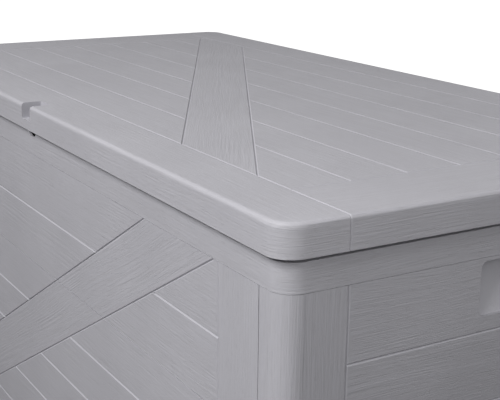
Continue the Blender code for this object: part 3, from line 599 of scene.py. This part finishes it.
def make_moulded_pieces(plastic):
    lid_outline = Outline(HALF_X, HALF_Y, LID_CORNER, HEIGHT)
    body_outline = Outline(BODY_X, BODY_Y, BODY_CORNER, HEIGHT)
    pieces = [("lid", "lid", lid_outline, lid_layout), ("top_rim", "box", body_outline, band_layout)]
    for panel in ("front_panel_lower", "front_panel_upper", "back_panel_lower", "back_panel_upper",
                  "end_panel_left", "end_panel_right"):
        pieces.append((panel, "box", body_outline, wall_layout))
    for node, body, outline, layout in pieces:
        bm = merged_copy(node)
        press_grain(bm, outline, layout)
        finished_piece(bm, f"{node}_moulding", body, plastic, [node])


def softened_copy(node, radius):
    """A merged copy of a CAD node with its sharp edges rounded."""
    bm = merged_copy(node)
    edges = [edge for edge in bm.edges
             if len(edge.link_faces) == 2 and edge.calc_face_angle() > math.radians(40)]
    bmesh.ops.bevel(bm, geom=edges, offset=radius, segments=2, profile=0.5, affect="EDGES",
                    clamp_overlap=True)
    bm.normal_update()
    return bm


# ---------------------------------------------------------------- fastenings, by Geometry Nodes

def screw_seat(node):
    """Where a screw's head seats, and the way its head points, from its CAD solid."""
    low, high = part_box(node)
    size = high - low
    axis = max(range(3), key=lambda i: size[i])
    middle = (low + high) / 2
    head_radius = min(size[i] for i in range(3) if i != axis) / 2
    wide = []
    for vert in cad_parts[node].data.vertices:
        away = vert.co - middle
        away[axis] = 0.0
        if away.length > 0.9 * head_radius:
            wide.append(vert.co[axis])
    toward = 1.0 if sum(wide) / len(wide) > middle[axis] else -1.0
    direction = Vector((0, 0, 0))
    direction[axis] = toward
    seat = middle.copy()
    seat[axis] = min(wide) if toward > 0 else max(wide)
    return seat, direction, head_radius, size[axis]


def new_tree(name, sizes):
    """A geometry tree with named sizes as inputs; returns it with its input node."""
    tree = bpy.data.node_groups.new(name, "GeometryNodeTree")
    tree.interface.new_socket("Geometry", in_out="INPUT", socket_type="NodeSocketGeometry")
    for size in sizes:
        tree.interface.new_socket(size, in_out="INPUT", socket_type="NodeSocketFloat")
    tree.interface.new_socket("Material", in_out="INPUT", socket_type="NodeSocketMaterial")
    tree.interface.new_socket("Geometry", in_out="OUTPUT", socket_type="NodeSocketGeometry")
    return tree, add(tree, "NodeGroupInput")


def moved(tree, geometry, x=0.0, y=0.0, z=0.0, turn=0.0):
    """Geometry moved along and turned about Z, by values or by sockets."""
    place = add(tree, "ShaderNodeCombineXYZ", {0: x, 1: y, 2: z}).outputs[0]
    return add(tree, "GeometryNodeTransform",
               {"Geometry": geometry, "Translation": place, "Rotation": (0.0, 0.0, turn)}).outputs[0]


def finish_tree(tree, source, shape):
    """Puts the shape on each point, its +Z along the point's direction, turned by a fixed random spin."""
    direction = add(tree, "GeometryNodeInputNamedAttribute", {"Name": "direction"},
                    data_type="FLOAT_VECTOR").outputs[0]
    aimed = add(tree, "FunctionNodeAlignRotationToVector", {"Vector": direction}, axis="Z").outputs[0]
    spin = add(tree, "FunctionNodeRandomValue", {"Max": math.pi, "Seed": 4}, data_type="FLOAT").outputs[1]
    instances = add(tree, "GeometryNodeInstanceOnPoints",
                    {"Points": source.outputs["Geometry"], "Instance": shape, "Rotation": aimed}).outputs[0]
    turn = add(tree, "ShaderNodeCombineXYZ", {2: spin}).outputs[0]
    spun = add(tree, "GeometryNodeRotateInstances", {"Instances": instances, "Rotation": turn}).outputs[0]
    real = add(tree, "GeometryNodeRealizeInstances", {"Geometry": spun}).outputs[0]
    coated = add(tree, "GeometryNodeSetMaterial",
                 {"Geometry": real, "Material": source.outputs["Material"]}).outputs[0]
    add(tree, "NodeGroupOutput", {"Geometry": coated})


def screw_tree():
    """A pan-head screw with a cross recess: +Z is the head, and the seat is at Z = 0."""
    tree, source = new_tree("pan_head_screw", ("Head radius", "Head height", "Shank radius", "Length"))
    head_radius, head_height, shank_radius, length = source.outputs[1:5]
    rim = maths(tree, "MULTIPLY", head_height, HEAD_RIM_SHARE)
    crown = maths(tree, "SUBTRACT", head_height, rim)
    disc = add(tree, "GeometryNodeMeshCylinder",
               {"Vertices": 40, "Radius": head_radius, "Depth": rim}).outputs["Mesh"]
    disc = moved(tree, disc, z=maths(tree, "MULTIPLY", rim, 0.5))
    dome = add(tree, "GeometryNodeMeshCone",
               {"Vertices": 40, "Radius Top": maths(tree, "MULTIPLY", head_radius, 0.72),
                "Radius Bottom": head_radius, "Depth": crown}).outputs["Mesh"]
    dome = moved(tree, dome, z=rim)
    cross = []
    bar_long = maths(tree, "MULTIPLY", head_radius, 1.15)
    bar_wide = maths(tree, "MULTIPLY", head_radius, 0.26)
    for turn in (0.0, math.pi / 2):
        size = add(tree, "ShaderNodeCombineXYZ", {0: bar_long, 1: bar_wide, 2: head_height}).outputs[0]
        bar = add(tree, "GeometryNodeMeshCube", {"Size": size}).outputs["Mesh"]
        cross.append(moved(tree, bar, z=maths(tree, "MULTIPLY", head_height, 0.95), turn=turn))
    head = add(tree, "GeometryNodeMeshBoolean", operation="UNION")
    tree.links.new(dome, head.inputs["Mesh 2"])
    tree.links.new(disc, head.inputs["Mesh 2"])
    cut = add(tree, "GeometryNodeMeshBoolean", {"Mesh 1": head.outputs["Mesh"]}, operation="DIFFERENCE")
    for bar in cross:
        tree.links.new(bar, cut.inputs["Mesh 2"])
    shank = add(tree, "GeometryNodeMeshCylinder",
                {"Vertices": 20, "Radius": shank_radius, "Depth": length}).outputs["Mesh"]
    shank = moved(tree, shank, z=maths(tree, "MULTIPLY", length, -0.5))
    whole = add(tree, "GeometryNodeMeshBoolean", operation="UNION")
    tree.links.new(shank, whole.inputs["Mesh 2"])
    tree.links.new(cut.outputs["Mesh"], whole.inputs["Mesh 2"])
    finish_tree(tree, source, whole.outputs["Mesh"])
    return tree


def pin_tree():
    """A hinge pin along Z, centred on its point, with a domed head at each end."""
    tree, source = new_tree("domed_hinge_pin", ("Head radius", "Head height", "Pin radius", "Length"))
    head_radius, head_height, pin_radius, length = source.outputs[1:5]
    shaft = add(tree, "GeometryNodeMeshCylinder",
                {"Vertices": 32, "Radius": pin_radius, "Depth": length}).outputs["Mesh"]
    parts = [shaft]
    end = maths(tree, "MULTIPLY", length, 0.5)
    for side in (1.0, -1.0):
        seat = maths(tree, "MULTIPLY", maths(tree, "SUBTRACT", end, head_height), side)
        dome = add(tree, "GeometryNodeMeshCone",
                   {"Vertices": 32, "Radius Top": maths(tree, "MULTIPLY", head_radius, 0.62),
                    "Radius Bottom": head_radius, "Depth": head_height}).outputs["Mesh"]
        flip = (0.0, 0.0, 0.0) if side > 0 else (math.pi, 0.0, 0.0)
        place = add(tree, "ShaderNodeCombineXYZ", {2: seat}).outputs[0]
        parts.append(add(tree, "GeometryNodeTransform",
                         {"Geometry": dome, "Translation": place, "Rotation": flip}).outputs[0])
    whole = add(tree, "GeometryNodeMeshBoolean", operation="UNION")
    for part in parts:
        tree.links.new(part, whole.inputs["Mesh 2"])
    finish_tree(tree, source, whole.outputs["Mesh"])
    return tree


def grown_piece(name, tree, places, sizes, material, body, nodes):
    """Runs a tree on a set of (point, direction) places and keeps the result as a plain mesh."""
    points = bpy.data.meshes.new(f"{name}_points")
    points.from_pydata([place for place, _ in places], [], [])
    aim = points.attributes.new("direction", "FLOAT_VECTOR", "POINT")
    for i, (_, direction) in enumerate(places):
        aim.data[i].vector = direction
    seed = bpy.data.objects.new(f"{name}_points", points)
    bpy.context.scene.collection.objects.link(seed)
    modifier = seed.modifiers.new("grow", "NODES")
    modifier.node_group = tree
    wanted = {**sizes, "Material": material}
    for item in tree.interface.items_tree:
        if item.in_out == "INPUT" and item.name in wanted:
            modifier[item.identifier] = wanted[item.name]
    grown = seed.evaluated_get(bpy.context.evaluated_depsgraph_get())
    mesh = bpy.data.meshes.new_from_object(grown)
    mesh.name = name
    bpy.data.objects.remove(seed)
    as_piece(mesh, body, nodes)


def make_screws(steel):
    tree = screw_tree()
    sets = (("wall_screws", "panel_screw_", "box"), ("bracket_screws", "hinge_bracket_screw_", "box"),
            ("arm_screws", "hinge_arm_screw_", "lid"))
    for name, prefix, body in sets:
        nodes = sorted(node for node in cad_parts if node.startswith(prefix))
        seats = [screw_seat(node) for node in nodes]
        sizes = {"Head radius": seats[0][2], "Head height": HEAD_HEIGHT, "Shank radius": SHANK_RADIUS,
                 "Length": seats[0][3] - HEAD_HEIGHT}
        places = [(seat, direction) for seat, direction, _, _ in seats]
        grown_piece(name, tree, places, sizes, steel, body, nodes)


def make_pins(steel):
    nodes = sorted(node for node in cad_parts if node.startswith("hinge_pin_"))
    low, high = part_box(nodes[0])
    sizes = {"Head radius": (high.z - low.z) / 2, "Head height": PIN_HEAD, "Pin radius": PIN_RADIUS,
             "Length": high.x - low.x}
    places = []
    for node in nodes:
        low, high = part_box(node)
        places.append(((low + high) / 2, Vector((1, 0, 0))))
    grown_piece("hinge_pins", pin_tree(), places, sizes, steel, "box", nodes)


def make_fittings(plastic):
    nylon = plain_plastic("glass_filled_nylon_moulded", "#6E6D6F", "#5E5D5F", 0.52)
    zinc = galvanised_steel()
    steel = stainless_steel()
    for label in ("left", "centre", "right"):
        for kind, body in (("bracket", "box"), ("arm", "lid")):
            node = f"hinge_{kind}_{label}"
            finished_piece(softened_copy(node, NYLON_EDGE), f"{node}_moulding", body, nylon,
                           [node])
    for place in ("front", "back"):
        node = f"lid_stiffener_{place}"
        finished_piece(softened_copy(node, TUBE_EDGE), f"{node}_tube", "lid", zinc,
                       [node])
    finished_piece(softened_copy("base_tray", TRAY_EDGE), "base_tray_moulding", "box", plastic,
                   ["base_tray"])
    make_screws(steel)
    make_pins(steel)


# ---------------------------------------------------------------- floor, light and camera

def seen_only(tree, seen, unseen):
    """One shader for what the camera sees directly and another for the light that it gives."""
    path = add(tree, "ShaderNodeLightPath").outputs["Is Camera Ray"]
    return add(tree, "ShaderNodeMixShader", {0: path, 1: unseen, 2: seen}).outputs[0]


def make_floor():
    """A white studio floor that throws back little light, as if flagged off."""
    mesh = bpy.data.meshes.new("studio_floor")
    reach = 40.0
    mesh.from_pydata([(-reach, -reach, 0), (reach, -reach, 0), (reach, reach, 0), (-reach, reach, 0)],
                     [], [(0, 1, 2, 3)])
    material = bpy.data.materials.new("studio_floor_white")
    material.use_nodes = True
    tree = material.node_tree
    tree.nodes.clear()
    white = add(tree, "ShaderNodeBsdfDiffuse", {"Color": linear("#F8F8F8")}).outputs[0]
    glow = add(tree, "ShaderNodeEmission", {"Color": (1, 1, 1, 1), "Strength": 0.72}).outputs[0]
    seen = add(tree, "ShaderNodeAddShader", {0: white, 1: glow}).outputs[0]
    unseen = add(tree, "ShaderNodeBsdfDiffuse", {"Color": linear("#3C3C3C")}).outputs[0]
    add(tree, "ShaderNodeOutputMaterial", {"Surface": seen_only(tree, seen, unseen)})
    mesh.materials.append(material)
    floor = bpy.data.objects.new("studio_floor", mesh)
    bpy.context.scene.collection.objects.link(floor)


def make_world():
    world = bpy.data.worlds.new("white_studio")
    bpy.context.scene.world = world
    world.use_nodes = True
    tree = world.node_tree
    tree.nodes.clear()
    seen = add(tree, "ShaderNodeBackground", {"Color": (1, 1, 1, 1), "Strength": 1.0}).outputs[0]
    unseen = add(tree, "ShaderNodeBackground", {"Color": (1, 1, 1, 1), "Strength": 0.42}).outputs[0]
    add(tree, "ShaderNodeOutputWorld", {"Surface": seen_only(tree, seen, unseen)})


def aimed(obj, place, target):
    obj.location = place
    obj.rotation_euler = (Vector(target) - Vector(place)).to_track_quat("-Z", "Y").to_euler()


def make_light(name, kind, place, target, **settings):
    data = bpy.data.lights.new(name, kind)
    for key, value in settings.items():
        setattr(data, key, value)
    light = bpy.data.objects.new(name, data)
    aimed(light, place, target)
    bpy.context.scene.collection.objects.link(light)


def toward(turn, rise):
    """A direction from the front, turned to the right and raised, both in degrees."""
    turn, rise = math.radians(turn), math.radians(rise)
    return Vector((math.sin(turn) * math.cos(rise), -math.cos(turn) * math.cos(rise), math.sin(rise)))


def make_lights():
    """A large soft panel in front and above for the lid and front, and a faint near one for the end."""
    corner = Vector((HALF_X, -HALF_Y, HEIGHT))
    make_light("front_panel", "AREA", corner + toward(0, 40) * 2.6, corner, energy=82.0,
               shape="RECTANGLE", size=2.2, size_y=1.4)
    make_light("end_strip", "AREA", corner + toward(90, 15) * 0.7, corner, energy=2.0,
               shape="RECTANGLE", size=1.2, size_y=0.3)


def make_camera():
    data = bpy.data.cameras.new("camera")
    data.sensor_width = 36.0
    data.lens = CAMERA_LENS
    camera = bpy.data.objects.new("camera", data)
    back = Vector((math.sin(CAMERA_AZIMUTH) * math.cos(CAMERA_ELEVATION),
                   -math.cos(CAMERA_AZIMUTH) * math.cos(CAMERA_ELEVATION), math.sin(CAMERA_ELEVATION)))
    level = back.to_track_quat("Z", "Y").to_matrix().to_4x4()
    camera.matrix_world = Matrix.Translation(CAMERA_PLACE) @ level @ Matrix.Rotation(CAMERA_ROLL, 4, "Z")
    bpy.context.scene.collection.objects.link(camera)
    bpy.context.scene.camera = camera


def main():
    plastic = moulded_polypropylene()
    make_moulded_pieces(plastic)
    make_fittings(plastic)
    make_floor()
    make_world()
    make_lights()
    make_camera()
    bpy.context.scene.view_settings.view_transform = "Standard"


main()
